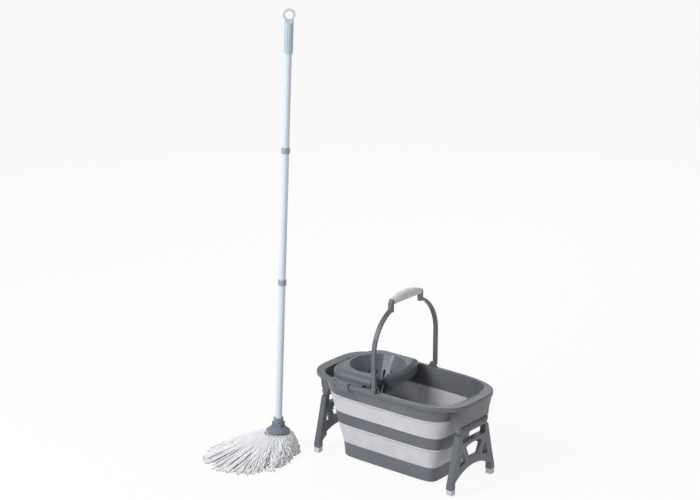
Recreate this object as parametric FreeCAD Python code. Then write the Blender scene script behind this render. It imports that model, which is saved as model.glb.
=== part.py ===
"""Mop and collapsible bucket with a wringer, standing side by side.

Frame: millimetres, +Z up, the floor at z = 0, +X along the bucket's long side towards its
pouring end, +Y across it.  The pieces are drawn about the middle of the bucket and then moved
together, so that the origin is the middle of the whole set's footprint on the floor.
The bucket stands on two folding leg frames.  Its soft bands let the base rise into the rim.
"""
import FreeCAD, Part

import math
import os

V = FreeCAD.Vector
X_AXIS = V(1, 0, 0)
Y_AXIS = V(0, 1, 0)
Z_AXIS = V(0, 0, 1)

# ---------------------------------------------------------------- driving dimensions (mm)
# Heights of the bucket's rings and soft bands, from the base up.
BASE_Z = 4.0              # underside of the base, just clear of the floor
BASE_HEIGHT = 41.5
BAND_LOWER_HEIGHT = 56.5
RING_HEIGHT = 34.5
BAND_UPPER_HEIGHT = 52.0
NECK_HEIGHT = 51.5        # from the upper band to the top of the rim
LIP_HEIGHT = 11.0
BASE_TOP_Z = BASE_Z + BASE_HEIGHT
RING_BOTTOM_Z = BASE_TOP_Z + BAND_LOWER_HEIGHT
RING_TOP_Z = RING_BOTTOM_Z + RING_HEIGHT
NECK_BOTTOM_Z = RING_TOP_Z + BAND_UPPER_HEIGHT
RIM_TOP_Z = NECK_BOTTOM_Z + NECK_HEIGHT
LIP_BOTTOM_Z = RIM_TOP_Z - LIP_HEIGHT

# Bucket outlines: the rim, and how far each level stands in from it at the ends and sides.
RIM_LENGTH = 490.0
RIM_WIDTH = 262.0


def level(end_inset, side_inset, squareness):
    """Half length, half width and squareness of the outline at one level."""
    return RIM_LENGTH / 2 - end_inset, RIM_WIDTH / 2 - side_inset, squareness


RIM_HALF = level(0, 0, 3.7)
OPENING_HALF = level(32.0, 12.0, 4.6)
NECK_BOTTOM_HALF = level(48.0, 25.0, 5.2)
RING_TOP_HALF = level(64.0, 37.0, 6.5)
RING_BOTTOM_HALF = level(72.0, 42.5, 7.0)
BASE_TOP_HALF = level(88.0, 54.0, 8.5)
BASE_BOTTOM_HALF = level(91.5, 56.0, 8.5)

PP_WALL = 2.8             # hard polypropylene walls
BAND_WALL = 2.2           # soft rubber bands
BASE_FLOOR = 3.0
BASE_EDGE_RADIUS = 4.0
FLANGE_THICKNESS = 3.6
LIP_WALL = 3.0
LIP_EDGE_RADIUS = 3.6
LIP_EDGE_STEPS = 4
BEAD_HEIGHT = 2.4         # raised line near the top of each soft band
BEAD_PROUD = 1.0
BEAD_DROP = 4.0

# Pouring scoop in the end flange at +X.
SCOOP_HALF_WIDTH = 42.0
SCOOP_REACH = 12.0
SCOOP_DEPTH = 2.0
SCOOP_RUN_OUT = 4.0       # how far the cutter runs past the flange on each side

# Aprons at both ends, and the hinge of each leg frame behind them.
APRON_HEIGHT = 61.5       # from the rim's top to the apron's lower edge
APRON_SIDE_INSET = 68.5   # from the rim's side to the apron's straight edge
APRON_FOOT_INSET = 27.0   # the same, of the curved skin that the apron is cut from
APRON_SQUARENESS = 8.0
APRON_POINTS = 9
APRON_ARC = 33.0
APRON_WALL = 3.0
APRON_ROOT = 2.6          # how far the apron runs up inside the lip
APRON_LIP_INSET = 1.7
APRON_BOTTOM_Z = RIM_TOP_Z - APRON_HEIGHT
APRON_HALF_WIDTH = RIM_WIDTH / 2 - APRON_SIDE_INSET
LEG_END_INSET = 13.0
LEG_FACE_X = RIM_LENGTH / 2 - LEG_END_INSET
LEG_DEPTH = 17.5
HINGE_PIN_DIAMETER = 5.0
HINGE_PIN_LENGTH = 17.0
HINGE_PIN_PROUD = 1.0
HINGE_FIT = 0.15          # radial clearance of the pin in the turning barrel
BARREL_WALL = 6.5
BARREL_RADIUS = HINGE_PIN_DIAMETER / 2 + BARREL_WALL
LUG_RADIUS = BARREL_RADIUS + 0.5
LUG_WALL = 3.2
LUG_FOOT_INSET = 2.2      # of the lug's front edge behind the apron's face, below and above
LUG_TOP_INSET = 7.5
LUG_INSET = 0.5           # the lugs sit just inside the apron's edges
LUG_GAP = 0.6             # side clearance between barrel and lug
APRON_GAP = 2.0           # between the barrel and the apron's lower edge
HINGE_X = LEG_FACE_X - BARREL_RADIUS - 1.0
HINGE_Z = APRON_BOTTOM_Z - BARREL_RADIUS - APRON_GAP

# Leg frames, outlines in the Y-Z plane.
LEG_SHOULDER_DROP = 12.0  # from the hinge to the shoulder
LEG_SHOULDER_OUT = 2.0
LEG_SHOULDER_Z = HINGE_Z - LEG_SHOULDER_DROP
LEG_SHOULDER_HALF = APRON_HALF_WIDTH + LEG_SHOULDER_OUT
FOOT_SIDE_INSET = 33.0    # from the rim's side to the outside of the foot
FOOT_OUTER = RIM_WIDTH / 2 - FOOT_SIDE_INSET
FOOT_WIDTH = 17.5
FOOT_TOP_Z = 31.0
FOOT_BEND_Z = 23.0
LEG_WAIST_Z = 74.0
LEG_WAIST_HALF = FOOT_OUTER - 14.0
LEG_EDGE_RADIUS = 1.4
CAP_HEIGHT = 14.0
CAP_FLOOR = 4.0
CAP_PEG = 9.0
CAP_FIT = 0.15
CAP_EDGE_RADIUS = 2.0
ARCH_CROWN_Z = 59.0
SLOT_SIDE_INSET = 11.5
SLOT_HEIGHT = 25.0
SLOT_HALF = APRON_HALF_WIDTH - SLOT_SIDE_INSET
SLOT_TOP_Z = HINGE_Z - BARREL_RADIUS - 2.5
SLOT_BOTTOM_Z = SLOT_TOP_Z - SLOT_HEIGHT
CROSSBAR_HEIGHT = 14.0
CROSSBAR_LOW_Z = SLOT_BOTTOM_Z - CROSSBAR_HEIGHT
CROSSBAR_CROWN = 4.5
CENTRE_TOP_INSET = 16.0
CENTRE_TAPER = 15.0
CENTRE_TOP_HALF = SLOT_HALF - CENTRE_TOP_INSET
CENTRE_BOTTOM_HALF = CENTRE_TOP_HALF - CENTRE_TAPER
CENTRE_BOTTOM_Z = 83.0
# Corners of the side opening: how far in from the outside of the foot, and the level.
TRIANGLE = ((FOOT_OUTER - 47.0, CROSSBAR_LOW_Z - 7.0), (FOOT_OUTER - 62.0, 76.0),
            (FOOT_OUTER - 34.0, 67.0))
OPENING_RADIUS = 3.0
STRUT_DEPTH = 10.0        # webs are thinner than the rails, to clear the rising base
RECESS_HALF = FOOT_OUTER - 35.0
RECESS_TOP_Z = CROSSBAR_LOW_Z - 9.0

# Carrying handle.
PIVOT_X = 5.0
PIVOT_RISE = 6.0          # of the handle's pivot over the rim
PIVOT_Z = RIM_TOP_Z + PIVOT_RISE
EAR_THICKNESS = 5.0
EAR_INSET = LIP_EDGE_RADIUS + 0.3   # the ears stand on the flat of the flange
EAR_HALF_WIDTH = 18.0
EAR_TOP_RADIUS = 9.0
HANDLE_PEG_DIAMETER = 7.0
HANDLE_PEG_FIT = 0.25
HANDLE_SIDE_GAP = 0.8
ARM_THICKNESS = 6.5
ARM_DEPTH = 11.5
ARM_STRAIGHT = 98.0       # from the pivot to where the arm starts to bend in
ARM_RISE = 204.0          # from the pivot to the shoulder
SHOULDER_Z = PIVOT_Z + ARM_RISE
GRIP_HALF_LENGTH = 58.0
SHOULDER_OUT = 8.0        # from the end of the grip to the middle of the arm
SHOULDER_HALF = GRIP_HALF_LENGTH + SHOULDER_OUT
SHOULDER_STEP = 3.0       # the step stands out from the arm by this much
GRIP_RISE = 22.0          # from the shoulder to the middle of the grip bar
GRIP_BAR_Z = SHOULDER_Z + GRIP_RISE
GRIP_CROWN = 6.0
GRIP_CORE_HEIGHT = 8.0
GRIP_HALF_DEPTH = 14.0
GRIP_HALF_HEIGHT = 13.0
GRIP_END_SHARE = 0.68
GRIP_FIT = 0.1

# Wringer: a domed tray on the rim with a slotted cone.
TRAY_RISE = 22.0          # of the tray's top over the rim
TRAY_HEIGHT = 36.0
TRAY_TOP_Z = RIM_TOP_Z + TRAY_RISE
TRAY_SKIRT_Z = TRAY_TOP_Z - TRAY_HEIGHT
TRAY_END_GAP = 29.0       # from the opening's end to the tray
TRAY_SIDE_GAP = 12.0      # from the opening's side to the tray
TRAY_LENGTH = 180.0
TRAY_BOW = 26.0           # how far the inner side bows out
TRAY_LEFT_X = TRAY_END_GAP - OPENING_HALF[0]
TRAY_RIGHT_X = TRAY_LEFT_X + TRAY_LENGTH
TRAY_FAR_X = TRAY_RIGHT_X - TRAY_BOW
TRAY_HALF_WIDTH = OPENING_HALF[1] - TRAY_SIDE_GAP
TRAY_CORNER_RADIUS = 58.0
TRAY_EDGE_RADIUS = 18.0
TRAY_WALL = 2.6
LEDGE_INSET = 8.0         # from the rim's edge to the edge of the ledge
LEDGE_THICKNESS = 2.6
LEDGE_LEFT_X = TRAY_LEFT_X + 34.0
LEDGE_RIGHT_X = TRAY_FAR_X - 16.0
HOOK_LEFT_X = LEDGE_LEFT_X + 28.0
HOOK_RIGHT_X = HOOK_LEFT_X + 38.0
HOOK_GAP = 0.5
HOOK_WALL = 2.6
HOOK_DROP = 18.0
HOOK_CORNER_RADIUS = 5.0
NOTCH_RADIUS = 16.5
NOTCH_X = TRAY_RIGHT_X - 25.0
NOTCH_Y = 51.0 - TRAY_HALF_WIDTH
NOTCH_ANGLE = -51.0       # the way the notch opens, from +X
CONE_TOP_RADIUS = 77.0
CONE_BOTTOM_RADIUS = 33.0
CONE_X = TRAY_LEFT_X + CONE_TOP_RADIUS + 20.0
CONE_DEPTH = 73.0
CONE_WALL = 2.6
CONE_FLOOR = 3.0
SLOT_COUNT = 15
SLOT_PHASE = 12.0         # direction of the first slot, from +X
SLOT_WIDTH = 6.0
SLOT_FROM_DEPTH = 37.0
SLOT_TO_DEPTH = 68.0
SLOT_INNER_RADIUS = 12.0
FLUTE_HALF_ANGLE = 8.0    # half of the flat facet that each slot lies in
DRAIN_HOLE_DIAMETER = 8.0
DRAIN_RING_RADIUS = 19.0
DRAIN_COUNT = 6

# Mop: place of the pole on the floor, its lean, and the levels along the pole.
MOP_GAP_X = 67.0          # from the rim's end to the foot of the pole
MOP_GAP_Y = 26.0          # from the rim's side to the foot of the pole
MOP_X = -RIM_LENGTH / 2 - MOP_GAP_X
MOP_Y = -RIM_WIDTH / 2 - MOP_GAP_Y
LEAN_DEGREES = 2.1
LEAN_TOWARDS = 39.0       # compass of the lean, from +X
TUBE_DIAMETER = 19.0
TUBE_WALL = 0.8
TUBE_SEAT = 10.0          # how deep the tube sits in the socket and in the grip
SOCKET_TOP_Z = 98.0
LOWER_SECTION_LENGTH = 390.5
SECTION_LENGTH = 346.0
UPPER_SECTION_LENGTH = 312.5
COUPLING_HEIGHT = 14.5
COUPLING_WALL = 2.0       # how far the couplings stand out from the tube
TUBE_BOTTOM_Z = SOCKET_TOP_Z - TUBE_SEAT
JOINT_LOWER_Z = TUBE_BOTTOM_Z + LOWER_SECTION_LENGTH
JOINT_UPPER_Z = JOINT_LOWER_Z + COUPLING_HEIGHT + SECTION_LENGTH
TUBE_TOP_Z = JOINT_UPPER_Z + COUPLING_HEIGHT + UPPER_SECTION_LENGTH
COUPLING_DIAMETER = TUBE_DIAMETER + 2 * COUPLING_WALL
SPIGOT_LENGTH = 30.0
SPIGOT_FIT = 0.05
SPIGOT_WALL = 2.65
SPIGOT_FLOOR = 4.0
SPIGOT_DIAMETER = TUBE_DIAMETER - 2 * TUBE_WALL - 2 * SPIGOT_FIT
THREAD_DIAMETER = SPIGOT_DIAMETER - 2 * SPIGOT_WALL
THREAD_LENGTH = 22.0
THREAD_FIT = 0.2
GRIP_WALL = 2.5
GRIP_LENGTH = 74.0
GRIP_TOP_Z = TUBE_TOP_Z + TUBE_SEAT
GRIP_BOTTOM_Z = GRIP_TOP_Z - GRIP_LENGTH
GRIP_DIAMETER = TUBE_DIAMETER + 2 * GRIP_WALL
GRIP_BORE_FIT = 0.1
GRIP_BORE_FLOOR = 8.0
FLUTE_COUNT = 12
FLUTE_DIAMETER = 3.2
FLUTE_END_GAP = 5.0
HANG_RING_RISE = 24.0
HANG_RING_Z = GRIP_TOP_Z + HANG_RING_RISE
HANG_HOLE_DIAMETER = 22.0
HANG_RING_WALL = 4.5
HANG_RING_DIAMETER = HANG_HOLE_DIAMETER + 2 * HANG_RING_WALL
HANG_RING_THICKNESS = 10.0

# Mop head: the socket, the ring that traps the yarns, and the pile of yarns.
SOCKET_NECK_HEIGHT = 23.0
SOCKET_TAB_HEIGHT = 11.5
SOCKET_FLARE_HEIGHT = 13.0
SOCKET_FLARE_TOP_Z = SOCKET_TOP_Z - SOCKET_NECK_HEIGHT
SOCKET_FLARE_Z = SOCKET_FLARE_TOP_Z - SOCKET_FLARE_HEIGHT
SOCKET_NECK_WALL = 4.0
SOCKET_NECK_DIAMETER = TUBE_DIAMETER + 2 * SOCKET_NECK_WALL
SOCKET_TAB_PROUD = 4.0
SOCKET_TAB_DIAMETER = SOCKET_NECK_DIAMETER + 2 * SOCKET_TAB_PROUD
SOCKET_SKIRT = 15.5
SOCKET_FLARE_DIAMETER = SOCKET_TAB_DIAMETER + 2 * SOCKET_SKIRT
SOCKET_WALL = 2.4
TAB_COUNT = 4
TAB_WIDTH = 9.0
TAB_PHASE = 45.0
SOCKET_THREAD_DIAMETER = SPIGOT_DIAMETER - 2.3
SOCKET_BOSS_DIAMETER = SOCKET_THREAD_DIAMETER + 5.0
PLUG_TIP_GAP = 6.0        # from the socket's lower end to the tip of the plug
RETAINER_DIAMETER = SOCKET_FLARE_DIAMETER - 20.0
RETAINER_HEIGHT = 5.0
RETAINER_CHAMFER = 3.0
YARN_GAP = 1.2            # between the retaining ring and the pile of yarns
YARN_TOP_Z = SOCKET_FLARE_Z - RETAINER_HEIGHT - YARN_GAP
YARN_NECK_RADIUS = 30.0
YARN_FOOT_Z = 8.0         # the pile is widest here
YARN_UNDERCUT = 0.96
YARN_LEVELS = (0.3, 0.5, 0.7, 0.88)   # shares of the pile's height that shape its shoulder
YARN_REACH = 118.0        # mean reach of the yarn over the floor
YARN_TRAIL = 88.0         # how far the pile is drawn to one side
YARN_STRETCH = 15.0
YARN_TRAIL_TOWARDS = 262.0
YARN_DOME_TRAIL = 1.3     # roundness of the pile's shoulder along the trail
YARN_DOME_AWAY = 2.6      # the same on the side away from it
YARN_OUTLINE_POINTS = 36


# ---------------------------------------------------------------- shape helpers
def squircle(half, z, grow=0.0, points=64):
    """Closed smooth outline |x/a|^n + |y/b|^n = 1 at height z, grown outwards by grow."""
    a, b, n = half[0] + grow, half[1] + grow, half[2]
    outline = []
    for i in range(points):
        t = 2 * math.pi * i / points
        c, s = math.cos(t), math.sin(t)
        ray = (abs(c) ** n + abs(s) ** n) ** (-1 / n)
        outline.append(V(a * c * ray, b * s * ray, z))
    curve = Part.BSplineCurve()
    curve.interpolate(outline, PeriodicFlag=True)
    return Part.Wire(curve.toShape())


def grown(half, by):
    return half[0] + by, half[1] + by, half[2]


def loft(*wires):
    return Part.makeLoft(list(wires), True, True)


def between(low, high, z):
    """Half sizes at height z on the straight wall from (half, z) low to (half, z) high."""
    share = (z - low[1]) / (high[1] - low[1])
    return tuple(a + (b - a) * share for a, b in zip(low[0], high[0]))


def box(x0, x1, y0, y1, z0, z1):
    return Part.makeBox(x1 - x0, y1 - y0, z1 - z0, V(x0, y0, z0))


def rod(centre, axis, diameter, length):
    """Cylinder centred on a point."""
    return Part.makeCylinder(diameter / 2, length, centre - axis * (length / 2), axis)


def post(x, y, z0, z1, diameter):
    return Part.makeCylinder(diameter / 2, z1 - z0, V(x, y, z0))


def polygon(points):
    return Part.makePolygon(list(points) + [points[0]])


def prism(points, along):
    """Closed polygon pushed along a vector."""
    return Part.Face(polygon(points)).extrude(along)


def chain(*edges):
    return Part.Wire(Part.__sortEdges__(list(edges)))


def line(a, b):
    return Part.LineSegment(a, b).toShape()


def arc(a, b, c):
    return Part.Arc(a, b, c).toShape()


def rounded_prism(points, along, radius):
    """Prism whose edges along the push are rounded."""
    solid = prism(points, along)
    way = V(along).normalize()
    edges = [e for e in solid.Edges if abs(e.tangentAt(e.FirstParameter).dot(way)) > 0.999]
    return solid.makeFillet(radius, edges)


def mirrored(shape, axis):
    return shape.mirror(V(0, 0, 0), axis)


def pair(shape, axis):
    """The shape and its mirror image, as separate solids."""
    return [shape, mirrored(shape, axis)]


def one(shape):
    """What a boolean made, with split faces joined again where that keeps it valid."""
    cleaned = shape.removeSplitter()
    solids = cleaned.Solids if cleaned.isValid() else shape.Solids
    return solids[0] if len(solids) == 1 else Part.makeCompound(solids)


# ---------------------------------------------------------------- bucket shells
def wall_band(low, high, wall):
    """Hollow wall between two levels; its thickness lies inside the outline."""
    (a, z0), (b, z1) = low, high
    outer = loft(squircle(a, z0), squircle(b, z1))
    inner = loft(squircle(a, z0, -wall), squircle(b, z1, -wall))
    return outer.cut(inner)


def soft_band(low, high):
    """Rubber band with a raised line just below its top edge."""
    bead_top = high[1] - BEAD_DROP
    half_top = between(low, high, bead_top)
    half_bottom = between(low, high, bead_top - BEAD_HEIGHT)
    bead = loft(squircle(half_bottom, bead_top - BEAD_HEIGHT, BEAD_PROUD),
                squircle(half_top, bead_top, BEAD_PROUD))
    core = loft(squircle(half_bottom, bead_top - BEAD_HEIGHT, -BAND_WALL / 2),
                squircle(half_top, bead_top, -BAND_WALL / 2))
    return one(wall_band(low, high, BAND_WALL).fuse(bead.cut(core)))


def make_base():
    low, high = (BASE_BOTTOM_HALF, BASE_Z), (BASE_TOP_HALF, BASE_TOP_Z)
    outer = loft(squircle(low[0], low[1]), squircle(high[0], high[1]))
    bottom = [e for e in outer.Edges if abs(e.BoundBox.ZMax - BASE_Z) < 0.01]
    outer = outer.makeFillet(BASE_EDGE_RADIUS, bottom)
    floor_z = BASE_Z + BASE_FLOOR
    inner = loft(squircle(between(low, high, floor_z), floor_z, -PP_WALL),
                 squircle(high[0], high[1], -PP_WALL))
    return one(outer.cut(inner))


def make_ring():
    return one(wall_band((RING_BOTTOM_HALF, RING_BOTTOM_Z), (RING_TOP_HALF, RING_TOP_Z), PP_WALL))


def make_band_lower():
    return soft_band((BASE_TOP_HALF, BASE_TOP_Z), (RING_BOTTOM_HALF, RING_BOTTOM_Z))


def make_band_upper():
    return soft_band((RING_TOP_HALF, RING_TOP_Z), (NECK_BOTTOM_HALF, NECK_BOTTOM_Z))


def rim_flange():
    """Rolled rim: a wide flat flange that turns down at its outer edge."""
    r = LIP_EDGE_RADIUS
    outlines = [squircle(RIM_HALF, LIP_BOTTOM_Z)]
    for step in range(LIP_EDGE_STEPS + 1):
        t = math.pi / 2 * step / LIP_EDGE_STEPS
        outlines.append(squircle(RIM_HALF, RIM_TOP_Z - r + r * math.sin(t),
                                 r * math.cos(t) - r))
    solid = loft(*outlines)
    under = RIM_TOP_Z - FLANGE_THICKNESS
    hollow = loft(squircle(RIM_HALF, LIP_BOTTOM_Z, -LIP_WALL),
                  squircle(RIM_HALF, under, -LIP_WALL))
    return solid.cut(hollow)


def apron_strip(half, z):
    """Outline of the apron's wall at height z, following the front of a bucket outline."""
    wide = APRON_HALF_WIDTH + APRON_ARC + 1
    rows = []
    for back in (0, APRON_WALL):
        row = []
        for i in range(APRON_POINTS):
            y = wide * (2 * i / (APRON_POINTS - 1) - 1)
            share = (1 - abs(y / half[1]) ** half[2]) ** (1 / half[2])
            row.append(V(half[0] * share - back, y, z))
        rows.append(row)
    curves = []
    for row in rows:
        curve = Part.BSplineCurve()
        curve.interpolate(row)
        curves.append(curve.toShape())
    front, back = rows
    return chain(curves[0], line(front[-1], back[-1]), curves[1], line(back[0], front[0]))


def apron():
    """End skirt at +X: a leaning skin that widens into the lip by a quarter arc on each side."""
    y0, top = APRON_HALF_WIDTH, LIP_BOTTOM_Z + APRON_ROOT + 1
    spring = LIP_BOTTOM_Z + APRON_ROOT - APRON_ARC
    bend = APRON_ARC * math.cos(math.radians(45))
    wide, arc_top = y0 + APRON_ARC, spring + APRON_ARC
    outline = chain(
        line(V(0, -y0, APRON_BOTTOM_Z - 1), V(0, y0, APRON_BOTTOM_Z - 1)),
        line(V(0, y0, APRON_BOTTOM_Z - 1), V(0, y0, spring)),
        arc(V(0, y0, spring), V(0, wide - bend, spring + bend), V(0, wide, arc_top)),
        line(V(0, wide, arc_top), V(0, wide, top)),
        line(V(0, wide, top), V(0, -wide, top)),
        line(V(0, -wide, top), V(0, -wide, arc_top)),
        arc(V(0, -wide, arc_top), V(0, -wide + bend, spring + bend), V(0, -y0, spring)),
        line(V(0, -y0, spring), V(0, -y0, APRON_BOTTOM_Z - 1)))
    foot = (LEG_FACE_X, RIM_WIDTH / 2 - APRON_FOOT_INSET, APRON_SQUARENESS)
    skin = loft(apron_strip(foot, APRON_BOTTOM_Z),
                apron_strip(grown(RIM_HALF, -APRON_LIP_INSET), LIP_BOTTOM_Z + APRON_ROOT))
    return one(skin.common(Part.Face(outline).extrude(V(RIM_LENGTH, 0, 0))))


def lug():
    """Cheek behind the apron's edge, ending in the bored lug of the leg hinge (+X, +Y)."""
    inner_y = APRON_HALF_WIDTH - LUG_INSET - LUG_WALL
    top_z = RIM_TOP_Z - FLANGE_THICKNESS / 2
    root_x = NECK_BOTTOM_HALF[0] - PP_WALL - 4
    root_z = NECK_BOTTOM_Z + 2
    plate = prism([V(root_x, inner_y, root_z),
                   V(NECK_BOTTOM_HALF[0] + 1, inner_y, root_z),
                   V(HINGE_X - LUG_RADIUS, inner_y, HINGE_Z),
                   V(HINGE_X + LUG_RADIUS, inner_y, HINGE_Z),
                   V(LEG_FACE_X - LUG_FOOT_INSET, inner_y, APRON_BOTTOM_Z),
                   V(RIM_LENGTH / 2 - LUG_TOP_INSET, inner_y, LIP_BOTTOM_Z),
                   V(RIM_LENGTH / 2 - LUG_TOP_INSET - LIP_WALL, inner_y, top_z),
                   V(root_x, inner_y, top_z)], V(0, LUG_WALL, 0))
    centre = V(HINGE_X, inner_y + LUG_WALL / 2, HINGE_Z)
    return plate.fuse(rod(centre, Y_AXIS, 2 * LUG_RADIUS, LUG_WALL))


def ear():
    """Rounded ear on the long side at -Y that carries the handle."""
    y0 = EAR_INSET - RIM_HALF[1]
    foot_z = RIM_TOP_Z - FLANGE_THICKNESS / 2
    slope = EAR_HALF_WIDTH
    body = prism([V(PIVOT_X - slope, y0, foot_z), V(PIVOT_X + slope, y0, foot_z),
                  V(PIVOT_X + EAR_TOP_RADIUS, y0, PIVOT_Z),
                  V(PIVOT_X - EAR_TOP_RADIUS, y0, PIVOT_Z)], V(0, EAR_THICKNESS, 0))
    centre = V(PIVOT_X, y0 + EAR_THICKNESS / 2, PIVOT_Z)
    return body.fuse(rod(centre, Y_AXIS, 2 * EAR_TOP_RADIUS, EAR_THICKNESS))


def scoop():
    """Shallow pouring dip in the top of the flange at +X."""
    x0 = OPENING_HALF[0] - SCOOP_RUN_OUT
    x1 = OPENING_HALF[0] + SCOOP_REACH + SCOOP_RUN_OUT
    return prism([V(x0, -SCOOP_HALF_WIDTH, RIM_TOP_Z - 2 * SCOOP_DEPTH),
                  V(x1, -SCOOP_HALF_WIDTH, RIM_TOP_Z + SCOOP_DEPTH),
                  V(x0, -SCOOP_HALF_WIDTH, RIM_TOP_Z + SCOOP_DEPTH)],
                 V(0, 2 * SCOOP_HALF_WIDTH, 0))


def make_rim():
    low = (grown(NECK_BOTTOM_HALF, -PP_WALL), NECK_BOTTOM_Z)
    high = (OPENING_HALF, RIM_TOP_Z)
    neck_top = RIM_TOP_Z - FLANGE_THICKNESS / 2
    neck = loft(squircle(NECK_BOTTOM_HALF, NECK_BOTTOM_Z),
                squircle(between(low, high, neck_top), neck_top, PP_WALL))
    below, above = NECK_BOTTOM_Z - 10, RIM_TOP_Z + 30
    opening = loft(squircle(between(low, high, below), below),
                   squircle(between(low, high, above), above))
    parts = [neck, ear(), mirrored(ear(), Y_AXIS)]
    ends = [apron(), lug(), mirrored(lug(), Y_AXIS)]
    parts += ends
    parts += [mirrored(piece, X_AXIS) for piece in ends]
    body = rim_flange()
    for piece in parts:
        body = body.fuse(piece)
    cuts = [opening, scoop()]
    for x in (-HINGE_X, HINGE_X):
        cuts.append(rod(V(x, 0, HINGE_Z), Y_AXIS, HINGE_PIN_DIAMETER, 3 * APRON_HALF_WIDTH))
    bore = HANDLE_PEG_DIAMETER + 2 * HANDLE_PEG_FIT
    cuts.append(rod(V(PIVOT_X, 0, PIVOT_Z), Y_AXIS, bore, 3 * RIM_HALF[1]))
    for cutter in cuts:
        body = body.cut(cutter)
    return one(body)


# ---------------------------------------------------------------- leg frames
def leg_outline():
    top, shoulder = HINGE_Z, LEG_SHOULDER_Z
    neck = APRON_HALF_WIDTH - LUG_INSET - LUG_WALL - LUG_GAP
    inner = FOOT_OUTER - FOOT_WIDTH
    right = [V(0, neck, top), V(0, neck, shoulder), V(0, LEG_SHOULDER_HALF, shoulder - 2),
             V(0, LEG_WAIST_HALF, LEG_WAIST_Z), V(0, FOOT_OUTER, FOOT_BEND_Z),
             V(0, FOOT_OUTER, CAP_HEIGHT), V(0, inner, CAP_HEIGHT), V(0, inner, FOOT_TOP_Z)]
    edges = []
    for a, b in zip(right, right[1:]):
        edges.append(line(a, b))
        edges.append(line(V(0, -a.y, a.z), V(0, -b.y, b.z)))
    edges.append(line(V(0, -neck, top), V(0, neck, top)))
    edges.append(arc(V(0, -inner, FOOT_TOP_Z), V(0, 0, ARCH_CROWN_Z), V(0, inner, FOOT_TOP_Z)))
    return Part.Face(chain(*edges))


def leg_openings(depth):
    """Prisms of the slot, the centre opening and the two triangles."""
    push = V(depth, 0, 0)
    slot = rounded_prism([V(0, -SLOT_HALF, SLOT_BOTTOM_Z), V(0, SLOT_HALF, SLOT_BOTTOM_Z),
                          V(0, SLOT_HALF, SLOT_TOP_Z), V(0, -SLOT_HALF, SLOT_TOP_Z)],
                         push, OPENING_RADIUS)
    low, crown = CROSSBAR_LOW_Z, CROSSBAR_LOW_Z + CROSSBAR_CROWN
    top, bottom = CENTRE_TOP_HALF, CENTRE_BOTTOM_HALF
    centre = Part.Face(chain(
        arc(V(0, -top, low), V(0, 0, crown), V(0, top, low)),
        line(V(0, top, low), V(0, bottom, CENTRE_BOTTOM_Z)),
        line(V(0, bottom, CENTRE_BOTTOM_Z), V(0, -bottom, CENTRE_BOTTOM_Z)),
        line(V(0, -bottom, CENTRE_BOTTOM_Z), V(0, -top, low)))).extrude(push)
    upright = [e for e in centre.Edges if abs(e.tangentAt(e.FirstParameter).x) > 0.999]
    centre = centre.makeFillet(OPENING_RADIUS, upright)
    triangle = rounded_prism([V(0, y, z) for y, z in TRIANGLE], push, OPENING_RADIUS)
    return [slot, centre, triangle, mirrored(triangle, Y_AXIS)]


def make_leg():
    """Leg frame at +X, moulded in one piece with the barrel that turns on the hinge pins."""
    inner_x = LEG_FACE_X - LEG_DEPTH
    frame = leg_outline().extrude(V(LEG_DEPTH, 0, 0))
    outside = [e for e in frame.Edges if e.BoundBox.XMin > LEG_DEPTH - 0.01
               and CAP_HEIGHT + 0.01 < e.BoundBox.Center.z < HINGE_Z - 0.01]
    frame = frame.makeFillet(LEG_EDGE_RADIUS, outside)
    frame = frame.cut(leg_openings(LEG_DEPTH))
    recess = box(0, LEG_DEPTH - STRUT_DEPTH, -RECESS_HALF, RECESS_HALF,
                 FOOT_TOP_Z, RECESS_TOP_Z)
    frame = frame.cut(recess)
    frame.translate(V(inner_x, 0, 0))
    neck = APRON_HALF_WIDTH - LUG_INSET - LUG_WALL - LUG_GAP
    centre = V(HINGE_X, 0, HINGE_Z)
    above = box(inner_x - 1, LEG_FACE_X + 1, -neck - 1, neck + 1, HINGE_Z - 1, HINGE_Z + 20)
    frame = frame.cut(above)
    barrel = rod(centre, Y_AXIS, 2 * BARREL_RADIUS, 2 * neck)
    frame = frame.fuse(barrel)
    frame = frame.cut(rod(centre, Y_AXIS, HINGE_PIN_DIAMETER + 2 * HINGE_FIT, 2 * neck + 2))
    pegs = []
    for side in (-1, 1):
        y = side * (FOOT_OUTER - FOOT_WIDTH / 2)
        x = LEG_FACE_X - LEG_DEPTH / 2
        half = CAP_PEG / 2
        pegs.append(box(x - half, x + half, y - half, y + half, CAP_FLOOR, CAP_HEIGHT + 1))
    return one(frame.fuse(pegs))


def make_foot_caps():
    caps = []
    for side in (-1, 1):
        y = side * (FOOT_OUTER - FOOT_WIDTH / 2)
        x = LEG_FACE_X - LEG_DEPTH / 2
        half_x, half_y = LEG_DEPTH / 2, FOOT_WIDTH / 2
        cap = box(x - half_x, x + half_x, y - half_y, y + half_y, 0, CAP_HEIGHT)
        upright = [e for e in cap.Edges if abs(e.tangentAt(e.FirstParameter).z) > 0.999]
        cap = cap.makeFillet(CAP_EDGE_RADIUS, upright)
        half = CAP_PEG / 2 + CAP_FIT
        caps.append(cap.cut(box(x - half, x + half, y - half, y + half, CAP_FLOOR, CAP_HEIGHT)))
    return Part.makeCompound(caps)


def make_hinge_pins():
    pins = []
    middle = APRON_HALF_WIDTH + HINGE_PIN_PROUD - HINGE_PIN_LENGTH / 2
    for x in (-HINGE_X, HINGE_X):
        for y in (-middle, middle):
            pins.append(rod(V(x, y, HINGE_Z), Y_AXIS, HINGE_PIN_DIAMETER, HINGE_PIN_LENGTH))
    return Part.makeCompound(pins)


# ---------------------------------------------------------------- handle
def arm_centre_y():
    return RIM_HALF[1] + HANDLE_SIDE_GAP + ARM_THICKNESS / 2


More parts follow.
